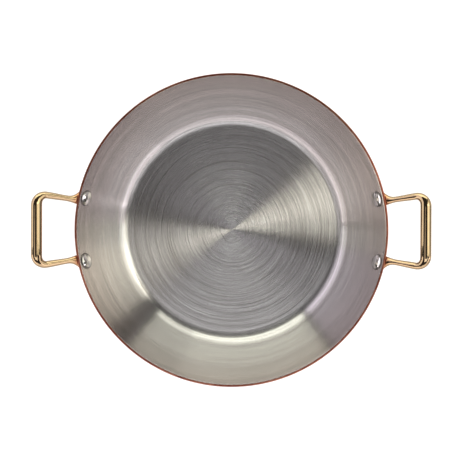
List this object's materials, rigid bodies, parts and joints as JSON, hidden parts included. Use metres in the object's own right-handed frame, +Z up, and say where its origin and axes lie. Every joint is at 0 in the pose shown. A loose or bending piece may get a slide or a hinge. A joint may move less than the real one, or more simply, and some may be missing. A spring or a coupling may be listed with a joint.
{
  "type": "round serving pan",
  "caption": "Round open pan with a flared copper shell, a brushed steel lining and two cast brass loop handles riveted on opposite sides.",
  "frame": {"origin": "centre of the pan's underside, on the surface that it stands on", "axes": "+Z up out of the pan, +X towards the right handle, so that the handles lie along X"},
  "size_m": [0.3592, 0.2852, 0.0778],
  "materials": {
    "copper": "spun copper, polished, with fine turning marks",
    "lining_steel": "stainless steel, brushed in circles round the pan's axis",
    "brass": "cast brass, polished by hand",
    "rivet_steel": "stainless steel, polished, slightly hammered"
  },
  "bodies": {
    "root": {"copper_shell": "copper", "steel_lining": "lining_steel", "handle_left": "brass", "handle_right": "brass", "rivet_left_back": "rivet_steel", "rivet_left_front": "rivet_steel", "rivet_right_back": "rivet_steel", "rivet_right_front": "rivet_steel"}
  },
  "joints": []
}
